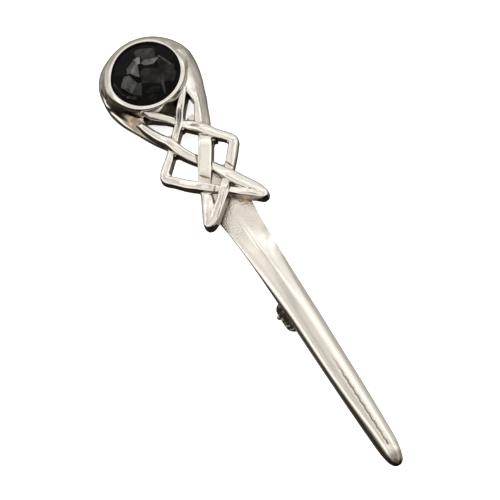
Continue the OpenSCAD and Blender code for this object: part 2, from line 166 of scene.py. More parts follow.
# The head is fuller between its end and its left side than a circle, and less full at the side itself.
fuller = 0.15 * np.exp(-((away - 50) / 18) ** 2) - 0.118 * smooth(away, 62, 86)
head_rings = []
for dome_out, dome_up, left_out, left_up, right_out, right_up, wall_out, wall_up in eased(HEAD_ROWS, 0.03):
    out = dome_out + (np.where(on_right, right_out, left_out) - dome_out) * to_side
    up = dome_up + (np.where(on_right, right_up, left_up) - dome_up) * to_side
    out = out * np.where(on_right, 1, 1 + fuller)
    out = BEZEL_R + SKIRT_W * (out + (wall_out - out) * to_wall)
    up = LIP_H * (up + (wall_up - up) * to_wall)
    # A fine turned groove parts the lip from the bezel on the knot's side.
    groove = np.exp(-((out - BEZEL_R + 0.36) / 0.075) ** 2) * smooth(away, 100, 140) * (up > 5.5)
    # The lip leans a little, outward at the head's end and on the left and inward on the knot's side.
    tilt = 0.15 * np.cos(turns) + 0.26 * np.maximum(-np.sin(turns), 0)
    tilt = tilt * (out - BEZEL_R + 0.45) * smooth(up, 5.3, 5.85)
    head_rings.append(np.stack([out * np.sin(turns), out * np.cos(turns), up - 0.22 * groove - tilt], axis=1))
head_shell = rolled_sheet("head_shell", head_rings)

# Rim: place along as a share of its run, left and right outer edges and inner edge as shares of the
# head's radius, and the height of its left and right inner side as a share of the lip's. On the left a
# hollow slope runs from the bezel down to a flange; on the right the bezel sweeps into the strand.
RIM_ROWS = [
    (-0.10, 0.972, 0.994, 0.730, 0.92, 0.92),
    (-0.02, 0.972, 0.993, 0.730, 0.91, 0.92),
    (0.06, 0.970, 0.988, 0.725, 0.88, 0.91),
    (0.18, 0.938, 0.957, 0.660, 0.78, 0.87),
    (0.32, 0.890, 0.904, 0.540, 0.62, 0.79),
    (0.45, 0.824, 0.844, 0.485, 0.47, 0.72),
    (0.59, 0.742, 0.785, 0.500, 0.50, 0.67),
    (0.73, 0.657, 0.708, 0.505, 0.56, 0.63),
    (0.87, 0.564, 0.635, 0.430, 0.58, 0.61),
    (1.00, 0.456, 0.559, 0.350, 0.56, 0.58),
    (1.07, 0.400, 0.490, 0.340, 0.52, 0.54),
]
# Its section: place from its inner edge to its outer edge, share of its outer height, share of the
# inner side's height.
RIM_SECTION = [
    (0.00, 0.00, 0), (0.30, 0.00, 0), (0.60, 0.00, 0), (0.88, 0.00, 0), (0.96, 0.04, 0), (1.00, 0.14, 0),
    (1.005, 0.40, 0), (1.00, 0.64, 0), (0.985, 0.77, 0), (0.955, 0.835, 0), (0.91, 0.875, 0), (0.85, 0.91, 0),
    (0.79, 0.935, 0), (0.73, 0.96, 0), (0.67, 0.98, 0.03), (0.61, 1.0, 0.11), (0.55, 1.0, 0.28),
    (0.49, 1.0, 0.50), (0.43, 1.0, 0.72), (0.36, 1.0, 0.89), (0.29, 1.0, 0.98), (0.22, 1.0, 1.00),
    (0.14, 1.0, 1.00), (0.07, 1.0, 0.97), (0.02, 1.0, 0.91), (0.00, 1.0, 0.0), (0.00, 0.6, 0.0),
]
RIM_H = 2.3
rim_run = BEZEL_R + 0.227 * KNOT_RUN
rims = []
for side, outer, slope_from, slope_to in ((-1, 1, 0.42, 0.62), (1, 2, 0.6, 1.3)):
    rings = []
    for row in eased([(r[0] * rim_run, 0) + r[1:] for r in RIM_ROWS], 0.3):
        wide, narrow, high = row[1 + outer] * HEAD_R, row[4] * HEAD_R, row[4 + outer] * LIP_H
        rim_h = RIM_H + (1.2 * float(1 - smooth(row[0] / rim_run, -0.1, 0.5)) if side > 0 else 0)
        lower = 0.35 * RIM_H * float(smooth(row[0], 0, rim_run))
        if side < 0:
            lower = 1.3 * float(smooth(row[0], 0, 0.6 * rim_run))
        level = float(smooth(row[0] / rim_run, slope_from, slope_to))
        ring = []
        for p, outer_share, rise in RIM_SECTION:
            swept = 0.0 if p == 0 else max(0.0, 1 - p / 0.76) if side < 0 else max(0.0, 1 - (p / 0.97) ** 1.6)
            rise = rise * level + swept * (1 - level) * (outer_share > 0.7)
            z = outer_share * rim_h * (1 - rise) + high * rise
            ring.append((side * (narrow + (wide - narrow) * p), -row[0], max(lower, z)))
        rings.append(ring)
    rims.append(rolled_sheet("rim", rings))
cast_head = lay_down(cast_in_one("cast_head", [head_shell] + rims, voxel=0.1, keep=0.5))


def socket(node, name, value):
    node.inputs[name].default_value = value


def cast_metal(name, ripple, rough, stretch, wall, painted_shades=(), painted_reflections=()):
    """Polished white metal with a warm tone: soft wear in the polish, fine ripples left by the mould, and
    brown painted shade with some tarnish on the steep walls, in the corners and in given places, with painted
    golden glints in it."""
    metal = bpy.data.materials.new(name)
    metal.use_nodes = True
    nodes, links = metal.node_tree.nodes, metal.node_tree.links
    shader = nodes["Principled BSDF"]
    place = nodes.new("ShaderNodeTexCoord")
    socket(shader, "Metallic", 1.0)

    grain = nodes.new("ShaderNodeMapping")
    socket(grain, "Scale", (1, stretch, 1))
    links.new(place.outputs["Object"], grain.inputs["Vector"])
    mottle = nodes.new("ShaderNodeTexNoise")
    socket(mottle, "Scale", 700)
    socket(mottle, "Detail", 4)
    links.new(grain.outputs["Vector"], mottle.inputs["Vector"])
    tone = nodes.new("ShaderNodeMix")
    tone.data_type = "RGBA"
    tone.inputs[6].default_value = (0.97, 0.94, 0.90, 1)
    tone.inputs[7].default_value = (0.92, 0.885, 0.84, 1)
    links.new(mottle.outputs["Fac"], tone.inputs[0])

    # Painted shade: the colour darkens where ambient occlusion finds nearby surfaces, in corners, creases and
    # crevices.
    corner = nodes.new("ShaderNodeAmbientOcclusion")
    corner.samples = 6
    socket(corner, "Distance", 0.0015)
    shut = nodes.new("ShaderNodeMapRange")
    shut.interpolation_type = "SMOOTHSTEP"
    for key, value in (("From Min", 0.20), ("From Max", 0.76), ("To Min", 1.0), ("To Max", 0.0)):
        socket(shut, key, value)
    links.new(corner.outputs["AO"], shut.inputs["Value"])
    # Painted shade: steep walls darken, by the strength given as wall, the further their normal turns from
    # upright.
    upright = nodes.new("ShaderNodeSeparateXYZ")
    links.new(place.outputs["Normal"], upright.inputs[0])
    steep = nodes.new("ShaderNodeMapRange")
    steep.interpolation_type = "SMOOTHSTEP"
    for key, value in (("From Min", 0.15), ("From Max", 0.55), ("To Min", wall), ("To Max", 0.0)):
        socket(steep, key, value)
    links.new(upright.outputs["Z"], steep.inputs["Value"])
    darkening_and_grain = nodes.new("ShaderNodeAttribute")
    darkening_and_grain.attribute_name = "darkening_and_grain"
    darkening_and_grain_parts = nodes.new("ShaderNodeSeparateColor")
    links.new(darkening_and_grain.outputs["Color"], darkening_and_grain_parts.inputs["Color"])

    def most(one, other):
        larger = nodes.new("ShaderNodeMath")
        larger.operation = "MAXIMUM"
        links.new(one, larger.inputs[0])
        links.new(other, larger.inputs[1])
        return larger.outputs[0]

    def round_place(middle, sizes, turned, amount):
        """A soft-edged mask: middle, half sizes and turn in the plane of the face, and its strength."""
        inside = nodes.new("ShaderNodeMapping")
        inside.vector_type = "TEXTURE"
        socket(inside, "Location", LYING @ Vector(middle))
        socket(inside, "Rotation", (-PITCH, 0, math.radians(turned)))
        socket(inside, "Scale", [size * 0.001 for size in sizes])
        links.new(place.outputs["Object"], inside.inputs["Vector"])
        from_middle = nodes.new("ShaderNodeVectorMath")
        from_middle.operation = "LENGTH"
        links.new(inside.outputs["Vector"], from_middle.inputs[0])
        held = nodes.new("ShaderNodeMapRange")
        held.interpolation_type = "SMOOTHSTEP"
        for key, value in (("From Min", 0.80), ("From Max", 1.10), ("To Min", amount), ("To Max", 0.0)):
            socket(held, key, value)
        links.new(from_middle.outputs["Value"], held.inputs["Value"])
        return held.outputs["Result"]

    # How far the colour darkens, mostly painted shade with some tarnish: the most of the occlusion, the steep
    # walls, the attribute's red channel and the given places.
    darkening_share = most(most(shut.outputs["Result"], steep.outputs["Result"]), darkening_and_grain_parts.outputs["Red"])
    # Painted shade in given soft-edged places, such as shadow lines along crevices.
    for hollow in painted_shades:
        darkening_share = most(darkening_share, round_place(*hollow))
    clean = tone.outputs[2]
    # Painted reflections: dark grey streaks in given soft-edged places.
    for streak in painted_reflections:
        reflection_grey = nodes.new("ShaderNodeMix")
        reflection_grey.data_type = "RGBA"
        reflection_grey.inputs[7].default_value = (0.20, 0.215, 0.215, 1)
        links.new(round_place(*streak), reflection_grey.inputs[0])
        links.new(clean, reflection_grey.inputs[6])
        clean = reflection_grey.outputs[2]
    amount = nodes.new("ShaderNodeMath")
    amount.operation = "MULTIPLY"
    links.new(darkening_share, amount.inputs[0])
    amount.inputs[1].default_value = 0.92
    # Painted glint: noise patches turn the brown painted shade golden.
    patches = nodes.new("ShaderNodeTexNoise")
    socket(patches, "Scale", 420)
    socket(patches, "Detail", 2)
    links.new(place.outputs["Object"], patches.inputs["Vector"])
    painted_glint = nodes.new("ShaderNodeMapRange")
    for key, value in (("From Min", 0.54), ("From Max", 0.70)):
        socket(painted_glint, key, value)
    links.new(patches.outputs["Fac"], painted_glint.inputs["Value"])
    brown = nodes.new("ShaderNodeMix")
    brown.data_type = "RGBA"
    brown.inputs[6].default_value = (0.10, 0.068, 0.042, 1)
    brown.inputs[7].default_value = (0.44, 0.29, 0.13, 1)
    links.new(painted_glint.outputs["Result"], brown.inputs[0])
    # The painted shade darkens the clean tone towards brown.
    tarnish_and_shade = nodes.new("ShaderNodeMix")
    tarnish_and_shade.data_type = "RGBA"
    links.new(brown.outputs[2], tarnish_and_shade.inputs[7])
    links.new(amount.outputs[0], tarnish_and_shade.inputs[0])
    links.new(clean, tarnish_and_shade.inputs[6])
    links.new(tarnish_and_shade.outputs[2], shader.inputs["Base Color"])

    wear = nodes.new("ShaderNodeMapRange")
    for key, value in (("From Min", 0.3), ("From Max", 0.7), ("To Min", rough), ("To Max", rough + 0.08)):
        socket(wear, key, value)
    links.new(mottle.outputs["Fac"], wear.inputs["Value"])
    links.new(wear.outputs["Result"], shader.inputs["Roughness"])

    wave = nodes.new("ShaderNodeTexNoise")
    socket(wave, "Scale", 420)
    socket(wave, "Detail", 3)
    links.new(grain.outputs["Vector"], wave.inputs["Vector"])
    bump = nodes.new("ShaderNodeBump")
    socket(bump, "Strength", 1.0)
    socket(bump, "Distance", ripple)
    links.new(wave.outputs["Fac"], bump.inputs["Height"])
    sand = nodes.new("ShaderNodeTexNoise")
    socket(sand, "Scale", 3200)
    socket(sand, "Detail", 2)
    links.new(place.outputs["Object"], sand.inputs["Vector"])
    coarse = nodes.new("ShaderNodeMath")
    coarse.operation = "MULTIPLY_ADD"
    links.new(darkening_and_grain_parts.outputs["Green"], coarse.inputs[0])
    coarse.inputs[1].default_value = 0.000075
    coarse.inputs[2].default_value = 0.000004
    pitted = nodes.new("ShaderNodeBump")
    links.new(coarse.outputs[0], pitted.inputs["Distance"])
    links.new(sand.outputs["Fac"], pitted.inputs["Height"])
    links.new(bump.outputs["Normal"], pitted.inputs["Normal"])
    links.new(pitted.outputs["Normal"], shader.inputs["Normal"])
    return metal


def dress(piece, finish):
    """The piece gets its finish, stands in for its part of the plain casting and rides on the brooch."""
    piece.data.materials.clear()
    piece.data.materials.append(finish)
    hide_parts("cast_body")
    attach(piece, "brooch")


# Painted shade in the hollow on its left: middle, half sizes, turn in the plane of the face, and strength.
HEAD_PAINTED_SHADE = [((-6.45, -3.6, 2.8), (1.25, 6.0, 2.3), 10, 0.82)]
dress(cast_head, cast_metal("cast_head_metal", ripple=0.00003, rough=0.10, stretch=1.0, wall=0.3,
                            painted_shades=HEAD_PAINTED_SHADE))

# The knot: two flat strands, cast as one open piece, that go over and under each other and run from
# the bezel and the rims out to two points beside the blade.
# Route: across as a share of the knot's half width, along as a share of its run, level (1 over a
# crossing, -1 under one), shares of the strand's width and of its underside's height, and how crisp
# its upper edges are.
KNOT_HALF_W = 6.7
STRAND_W = 1.85
STRAND_BASE = 1.45
STRAND_TOP = 3.7
CROSSING_RISE = 0.45
LEFT_ROWS = [
    (-0.830, -0.030, -0.8, 0.66, 1, 0.25),
    (-0.785, 0.018, -0.1, 0.80, 1, 0.25),
    (-0.700, 0.088, 0.1, 0.86, 1, 0.25),
    (-0.587, 0.161, 0.4, 0.93, 1, 0.3),
    (-0.437, 0.234, 0.9, 1, 1.03, 0.35),
    (-0.379, 0.291, 1, 1.05, 1.1, 0.35),
    (-0.325, 0.336, 0.7, 1, 1.03, 0.35),
    (-0.256, 0.373, 0.2, 0.95, 1, 0.35),
    (-0.164, 0.415, -0.4, 0.95, 1, 0.35),
    (0.045, 0.498, -1.1, 0.95, 1, 0.35),
    (0.215, 0.573, -0.6, 1, 1.03, 0.35),
    (0.305, 0.631, 0.3, 1.12, 1.24, 0.4),
    (0.425, 0.700, 0.9, 1.24, 1.34, 0.45),
    (0.535, 0.762, 0.9, 1.26, 1.34, 0.45),
    (0.680, 0.832, 0.9, 1.24, 1.31, 0.45),
    (0.835, 0.910, 0.8, 1.16, 1.28, 0.4),
    (0.883, 0.968, 0.7, 1.06, 1.28, 0.5),
    (0.726, 0.935, 0.7, 0.89, 1.28, 0.5),
    (0.462, 0.868, 0.6, 0.89, 1.24, 0.5),
    (0.29, 0.812, -0.2, 0.89, 1.1, 0.5),
    (0.121, 0.765, -1.1, 0.86, 1, 0.5),
    (-0.112, 0.732, 0.1, 0.95, 1.31, 0.5),
    (-0.284, 0.691, 0.9, 1, 1.59, 0.5),
    (-0.438, 0.648, 0.8, 1, 1.41, 0.5),
    (-0.635, 0.595, 0.2, 1, 1.34, 0.5),
    (-0.834, 0.527, -0.3, 0.97, 1.28, 0.5),
    (-1.034, 0.456, -0.4, 0.97, 1.14, 0.35),
    (-0.976, 0.422, -0.4, 0.97, 1.03, 0.35),
    (-0.844, 0.383, -0.6, 0.95, 1, 0.35),
    (-0.681, 0.342, -0.8, 0.89, 0.97, 0.35),
    (-0.419, 0.269, -1.2, 0.86, 0.93, 0.35),
    (-0.232, 0.214, -0.8, 0.84, 1, 0.35),
    (-0.135, 0.189, -0.2, 0.84, 1.03, 0.35),
    (-0.001, 0.16, 0.3, 0.84, 1.1, 0.35),
    (0.115, 0.124, 0.9, 0.81, 1.24, -0.8),
    (0.248, 0.065, 1.1, 0.80, 1.24, -0.8),
    (0.448, 0.002, 1.6, 0.80, 1.24, -0.2),
]
RIGHT_ROWS = [
    (0.819, 0.018, 0, 0.57, 1, 0.35),
    (0.726, 0.088, 0.1, 0.62, 1, 0.35),
    (0.607, 0.156, 0, 0.81, 1, 0.35),
    (0.514, 0.212, -0.7, 0.92, 1, 0.35),
    (0.468, 0.273, -1.1, 0.97, 1, 0.35),
    (0.420, 0.348, 0.3, 1.20, 1, 1),
    (0.318, 0.403, 0.9, 1.27, 1.03, 1),
    (0.196, 0.460, 1, 1.27, 1.03, 1),
    (0.075, 0.515, 1, 1.27, 1.03, 1),
    (-0.049, 0.571, 1, 1.27, 1.03, 1),
    (-0.158, 0.619, 0.7, 1.22, 1.03, 1),
    (-0.280, 0.672, -1.1, 1.08, 1, 1),
    (-0.357, 0.724, -0.7, 1.12, 1.1, 0.35),
    (-0.435, 0.787, 0.1, 1.28, 1.17, 0.35),
    (-0.545, 0.854, 0.6, 1.28, 1.21, 0.35),
    (-0.662, 0.912, 0.7, 1.18, 1.21, 0.35),
    (-0.73, 0.953, 0.7, 1.03, 1.21, 0.5),
    (-0.545, 0.937, 0.7, 0.92, 1.24, 0.5),
    (-0.392, 0.901, 0.7, 0.96, 1.28, 0.5),
    (-0.207, 0.861, 0.8, 0.98, 1.31, 0.5),
    (-0.017, 0.818, 1, 0.98, 1.38, 0.5),
    (0.160, 0.762, 0.9, 0.98, 1.38, 0.5),
    (0.244, 0.728, 0.1, 0.92, 1.24, 0.5),
    (0.404, 0.675, -1.1, 0.86, 1, 0.5),
    (0.565, 0.625, -0.6, 0.92, 1.1, 0.5),
    (0.74, 0.57, -0.3, 0.97, 1.21, 0.35),
    (0.877, 0.522, -0.3, 0.97, 1.24, 0.35),
    (1.006, 0.468, -0.3, 0.97, 1.31, 0.35),
    (0.903, 0.417, -0.2, 1.03, 1.45, 0.35),
    (0.728, 0.366, 0.2, 1.08, 1.45, 0.35),
    (0.603, 0.321, 0.8, 1.14, 1.45, 0.35),
    (0.518, 0.279, 1, 1.24, 1.45, 0.35),
    (0.376, 0.224, 0.7, 1.30, 1.31, -0.2),
    (0.235, 0.184, 0.1, 1.16, 1.17, -0.4),
    (0.064, 0.126, -0.8, 0.92, 1.1, 0.35),
    (-0.112, 0.074, 0.1, 0.78, 1.28, 0.35),
    (-0.275, 0.031, 1.1, 0.90, 1.28, 0.3),
    (-0.415, -0.01, 2.2, 1.08, 1.28, 0.25),
]
# Their ends at the bezel: angle from the knot's side in degrees, distance from the wall, height of the top.
LEFT_START, LEFT_END = (-47, 1.0, 1.9), (39.5, -0.05, 4.8)
RIGHT_START, RIGHT_END = (49.6, 0.36, 3.52), (-32, -0.25, 5.2)


def strand_path(start, rows, end):
    """The strand's path in millimetres: x, y, height of its top, width, underside and crispness."""
    def at_head(angle, off, top):
        a = math.radians(180 - angle)
        r = BEZEL_R + off
        return (r * math.sin(a), r * math.cos(a), top, 0.66 * STRAND_W, STRAND_BASE, 0.3)
    path = [(r[0] * KNOT_HALF_W, -(BEZEL_R + r[1] * KNOT_RUN), STRAND_TOP + r[2] * CROSSING_RISE,
             r[3] * STRAND_W, r[4] * STRAND_BASE, r[5]) for r in rows]
    first, second = np.array(at_head(*start)), np.array(path[0])
    root = first.copy()
    root[:2] -= (second[:2] - first[:2]) / np.linalg.norm(second[:2] - first[:2])
    path = eased([root, first] + path + [at_head(*end)], 0.14)
    along = np.gradient(path[:, :2], axis=0)
    heading = np.unwrap(np.arctan2(along[:, 1], along[:, 0]))
    spread = np.arange(-10, 11)
    weights = np.exp(-(spread / 5.0) ** 2)
    padded = np.pad(path, ((10, 10), (0, 0)), mode="edge")
    even = sum(w * padded[10 + k:10 + k + len(path)] for k, w in zip(spread, weights)) / weights.sum()
    ahead = np.pad(heading, 7, mode="edge")
    bend = np.abs(ahead[14:] - ahead[:-14])
    bend = np.array([bend[max(0, i - 8):i + 9].max() for i in range(len(bend))])
    calm = (1 - smooth(bend, 0.45, 0.9))[:, None]
    calm[:12] = calm[-12:] = 0
    return path + (even - path) * calm


def room_beside(places, sides, reach=34):
    """How far each place of the path can go sideways before it comes nearer to another of its places."""
    room = np.full(len(places), 99.0)
    for i in range(len(places)):
        near = slice(max(0, i - reach), i + reach + 1)
        apart = places[i] - places[near]
        across = apart @ sides[i]
        facing = across < -1e-6
        if facing.any():
            room[i] = min(room[i], float(((apart[facing] ** 2).sum(1) / (-2 * across[facing])).min()))
    return room


def strand(name, path):
    places = path[:, :2]
    along = np.gradient(places, axis=0)
    along /= np.linalg.norm(along, axis=1)[:, None]
    right = np.stack([along[:, 1], -along[:, 0]], axis=1)
    room = {1: room_beside(places, right), -1: room_beside(places, -right)}
    rings = []
    for i, (x, y, top, width, base, crisp) in enumerate(path):
        half = width / 2
        hollow, crisp = 0.8 * max(0.0, -crisp), max(0.0, crisp)
        deep, power = min(1.0, 0.52 * width) * (1 - 0.40 * crisp), 2.0 + 4.8 * crisp * crisp
        section = [(0.0, base), (half * 0.6, base), (half * 0.92, base), (half, base + 0.12)]
        section += [(half, base + (top - deep - base) * k / 3) for k in (1, 2)]
        for a in np.radians((0, 10, 22, 34, 46, 58, 69, 79)):
            section.append((half * math.cos(a) ** (2 / power), top - deep * (1 - math.sin(a) ** (2 / power))))
        lean = max(0.25 * float(smooth(x, -1.2, 1.6)), 0.40 * float(smooth(crisp, 0.6, 1.0)))
        ring = section + [(0.0, top)] + [(-s, z) for s, z in section[:0:-1]]
        ring = [(s, z - hollow * math.exp(-(s / (0.45 * half)) ** 2) * (z > base + 0.2)) for s, z in ring]
        rings.append([(x + right[i, 0] * t, y + right[i, 1] * t,
                       z - lean * right[i, 0] * t * (z - base) / (top - base))
                      for s, z in ring for t in [math.copysign(min(abs(s), room[1 if s > 0 else -1][i]), s)]])
    return rolled_sheet(name, rings)


def meetings(paths):
    """The corners at every crossing and at the two side bends, each with its place, two ways out of it,
    their widths, the lower top and the size of its fillet."""
    found = []
    points = np.vstack(paths)
    steps = np.diff(points[:, :2], axis=0)
    steps[len(paths[0]) - 1] = 0
    for i, step in enumerate(steps):
        start, others = i + 30, steps[i + 30:]
        apart = points[start:-1, :2] - points[i, :2]
        turned = step[0] * others[:, 1] - step[1] * others[:, 0]
        turned[turned == 0] = 1e-12
        t = (apart[:, 0] * others[:, 1] - apart[:, 1] * others[:, 0]) / turned
        u = (apart[:, 0] * step[1] - apart[:, 1] * step[0]) / turned
        for hit in np.flatnonzero((t >= 0) & (t < 1) & (u >= 0) & (u < 1)):
            j = start + hit
            one, other = step / np.linalg.norm(step), steps[j] / np.linalg.norm(steps[j])
            for a, b in ((one, other), (one, -other), (-one, other), (-one, -other)):
                lower_top = min(points[i, 2], points[j, 2])
                found.append((points[i, :2], a, b, points[i, 3], points[j, 3], lower_top, 0.4))
    for rows, k in ((LEFT_ROWS, 26), (RIGHT_ROWS, 27)):
        before, bend, after = np.array(rows)[k - 1:k + 2, :2] * (KNOT_HALF_W, -KNOT_RUN)
        a = (before - bend) / np.linalg.norm(before - bend)
        b = (after - bend) / np.linalg.norm(after - bend)
        found.append((bend - (0, BEZEL_R), a, b, 1.7, 1.7, 3.6, 0.7))
    return found


def filled_corner(place, a, b, a_width, b_width, top, size):
    """A plate that rounds the corner between two ways out of a place: wide below and narrow at its top."""
    rings = []
    angle = math.acos(float(np.clip(a @ b, -1, 1)))
    corner = place + (a * (b_width / 2) + b * (a_width / 2)) / math.sin(angle)
    into_a, into_b = (a * (a @ b) - b) / math.sin(angle), (b * (a @ b) - a) / math.sin(angle)
    for z, share in ((1.6, 1.0), ((1.6 + top) / 2, 0.9), (top - 0.3, 0.65)):
        reach = min(size / math.tan(angle / 2), 1.2) * share
        ring = [tuple(place) + (z,), (*(corner + a * reach + into_a * 0.35), z)]
        for t in np.linspace(0, 1, 5):
            ring.append((*(corner + (a * (1 - t) + b * t) * reach * (1 - 1.2 * t * (1 - t))), z))
        ring.append((*(corner + b * reach + into_b * 0.35), z))
        rings.append(ring)
    return rolled_sheet("corner", rings)


# Floors between the strands where the blade's tongue comes up behind them, in millimetres.
FLOORS = [
    (2.80, (-1.2, -22.4), (0.2, -20.9), (1.8, -22.4), (2.6, -24.2),
     (1.0, -26.4), (-1.4, -25.4), (-1.9, -24.0)),
    (2.85, (2.2, -24.6), (5.6, -30.2), (2.4, -28.0), (1.4, -26.6)),
    (2.95, (-2.2, -25.4), (-0.2, -26.6), (-1.6, -28.6), (-4.6, -31.0), (-3.9, -28.4)),
]
paths = [strand_path(LEFT_START, LEFT_ROWS, LEFT_END), strand_path(RIGHT_START, RIGHT_ROWS, RIGHT_END)]
knot_pieces = [strand("left_strand", paths[0]), strand("right_strand", paths[1])]
knot_pieces += [filled_corner(*meeting) for meeting in meetings(paths)]
knot_pieces += [rolled_sheet("floor", [[corner + (z,) for corner in corners] for z in (1.6, top)])
                for top, *corners in FLOORS]
cast_knot = lay_down(cast_in_one("cast_knot", knot_pieces, voxel=0.085, keep=0.6))
# Painted reflections, as dark grey streaks on the knot's upper bands, and painted shadow lines and shade
# along its bands' crevices: middle, half sizes, turn in the plane of the face, and strength.
KNOT_PAINTED_REFLECTIONS = [
    ((0.90, -9.8, 4.0), (0.40, 2.0, 2.0), -31, 0.9),
    ((-0.45, -11.6, 4.0), (0.24, 0.9, 2.0), -45, 0.6),
    ((2.45, -12.9, 4.0), (0.32, 1.0, 2.0), 42, 0.7),
]
KNOT_PAINTED_SHADOWS = [
    ((4.3, -30.45, 4.0), (0.10, 0.95, 2.0), 43, 0.75),
    ((-0.6, -28.4, 4.0), (0.08, 1.5, 2.0), -41, 0.7),
    ((-2.4, -30.3, 4.0), (0.08, 1.2, 2.0), -45, 0.7),
    ((-1.04, -22.7, 3.6), (0.21, 1.0, 2.0), 46, 0.95),
    ((1.42, -24.3, 3.0), (0.16, 1.9, 1.0), 32, 0.8),
    ((3.22, -27.0, 3.0), (0.14, 1.2, 1.0), 36, 0.75),
    ((-0.72, -25.6, 3.6), (0.17, 0.75, 2.0), -39, 0.9),
    ((-2.09, -25.4, 3.3), (0.13, 1.0, 1.5), 56, 0.7),
    ((1.23, -26.8, 3.0), (0.16, 0.82, 1.5), -39, 0.8),
    ((3.01, -30.0, 2.4), (0.8, 2.7, 1.2), 42, 0.9),
    ((3.8, -22.7, 3.2), (0.19, 1.0, 1.0), 24, 0.85),
    ((2.83, -15.3, 3.3), (0.18, 1.1, 1.2), 47, 0.85),
    ((-1.92, -12.8, 3.3), (0.13, 0.75, 1.2), 15, 0.7),
    ((1.09, -21.4, 3.3), (0.12, 1.0, 1.2), -18, 0.6),
    ((-0.4, -18.3, 3.3), (0.20, 1.0, 1.2), -21, 0.8),
]
dress(cast_knot, cast_metal("cast_knot_metal", ripple=0.00007, rough=0.10, stretch=1.0, wall=0.80,
                            painted_shades=KNOT_PAINTED_SHADOWS, painted_reflections=KNOT_PAINTED_REFLECTIONS))

# The blade: a long tapering bar with a rounded keel, whose upper end runs up behind the knot as a
# plain tongue. It ends in a blunt nose. It is the same casting as the knot.
BLADE_LEN = 57.78
BLADE_HALF_W = 3.5
BLADE_H = 2.95
CREST_AT = 0.08
TONGUE_ROWS = [
    (0.590, 0.06, 0.30, 0.58),
    (0.675, 0.46, 0.56, 0.64),
    (0.754, 0.80, 0.88, 0.67),
    (0.833, 0.93, 1.03, 0.67),
    (0.913, 0.93, 1.07, 0.66),
    (1.000, 0.86, 1.02, 0.64),
]
BLADE_ROWS = [
    (0.031, 0.81, 0.98, 0.65, 0),
    (0.083, 0.755, 0.95, 0.70, 0),
    (0.152, 0.71, 0.925, 0.79, 0),
    (0.239, 0.68, 0.89, 0.88, 0),
    (0.377, 0.65, 0.85, 0.95, 0),
    (0.550, 0.635, 0.785, 0.985, 0),
    (0.723, 0.605, 0.715, 1.00, 0),
    (0.862, 0.555, 0.63, 0.978, 0),
    (0.925, 0.52, 0.58, 0.947, 0),
    (0.944, 0.492, 0.54, 0.912, 0),
    (0.958, 0.46, 0.495, 0.865, 0.01),
    (0.970, 0.415, 0.44, 0.78, 0.03),
    (0.982, 0.34, 0.36, 0.655, 0.07),
    (0.992, 0.235, 0.245, 0.51, 0.12),
    (0.998, 0.12, 0.12, 0.40, 0.18),
    (1.000, 0.04, 0.04, 0.33, 0.24),
]
knot_end = BEZEL_R + KNOT_RUN
blade_path = eased([(knot_end - (1 - r[0]) * KNOT_RUN, 0) + r[1:] + (0,) for r in TONGUE_ROWS]
                   + [(knot_end + r[0] * BLADE_LEN, 0) + r[1:] for r in BLADE_ROWS], 0.25)
blade_rings, blade_darkening_and_grain = [], []
for y, _, left, right, crest, low in blade_path:
    left, right, crest, low = max(left, 0.02), max(right, 0.02), max(crest, 0.05), max(low, 0)
    mid, half = (right - left) * BLADE_HALF_W / 2, (right + left) * BLADE_HALF_W / 2
    bottom, top = low * BLADE_H, crest * BLADE_H
    # From a low roof with upright edges near the knot to a rounder bar whose left flank leans further in.
    down = float(smooth(y, knot_end + 4, knot_end + 26))
    lean = float(smooth(y, knot_end + 34, knot_end + 54))
    edge = bottom + (top - bottom) * (0.62 - 0.28 * down)
    ridge = 0.13 * float(1 - smooth(y, knot_end + 5, knot_end + 11))
    ridge *= float(smooth(y, knot_end - 1, knot_end + 2))
    # Its right flank leans from a middle line that runs towards the right, and rounds off further down.
    flank = float(smooth(y, knot_end + 0.5, knot_end + 11))
    rounder = float(smooth(y, knot_end + 10, knot_end + 22))
    lean_from = math.radians(17 * (1 - rounder)) * flank
    lean_by = math.radians(26 + 34 * rounder) * max(flank, 0.02)
    ring = [(mid - half * k, -y, bottom) for k in (0.93, 0.5, 0, -0.5, -0.93)]
    darkening_and_grain = [(0, 0, 0, 1)] * 5
    for t in np.cos(np.linspace(0, math.pi, 111)):
        fall = 0.36 + 0.28 * lean
        bow = (1 - abs(t) ** (3.3 - 1.3 * lean)) ** (fall * down + 0.14 * (1 - down)) if abs(t) < 1 else 0.0
        roof = 1 - 0.36 * abs(t - CREST_AT) ** 1.3 if abs(t) < 1 else 0.0
        z = edge + (top - edge) * bow * (down + (1 - down) * roof)
        if t > CREST_AT:
            turned = math.cos(lean_from + lean_by * (t - CREST_AT)) / math.cos(lean_from)
            z = top + half * math.log(turned) / lean_by
            z = max(z, bottom + 0.1)
        z += ridge * math.exp(-((t * half + 0.15) / 0.34) ** 2)
        worn = t * half - 0.13 - 0.05 * math.sin(3.1 * y) - 0.03 * math.sin(7.3 * y)
        line = math.exp(-(worn / 0.18) ** 2) * float(smooth(y, 64.5, 72)) * (y < 86.3)
        ring.append((mid + half * t, -y, z - 0.10 * line))
        unpolished = float(smooth(-y, -knot_end - 4.5, -knot_end - 1))
        # Red: darker along the worn line and at the tip's end, and a little in the unpolished grain; green:
        # how strong the unpolished grain is.
        darkening_and_grain.append((max(line, 0.75 * float(smooth(y, 87.2, 88.6)), 0.10 * unpolished), unpolished, 0, 1))
    blade_rings.append(ring)
    blade_darkening_and_grain.append(darkening_and_grain)
cast_blade = rolled_sheet("cast_blade", blade_rings)
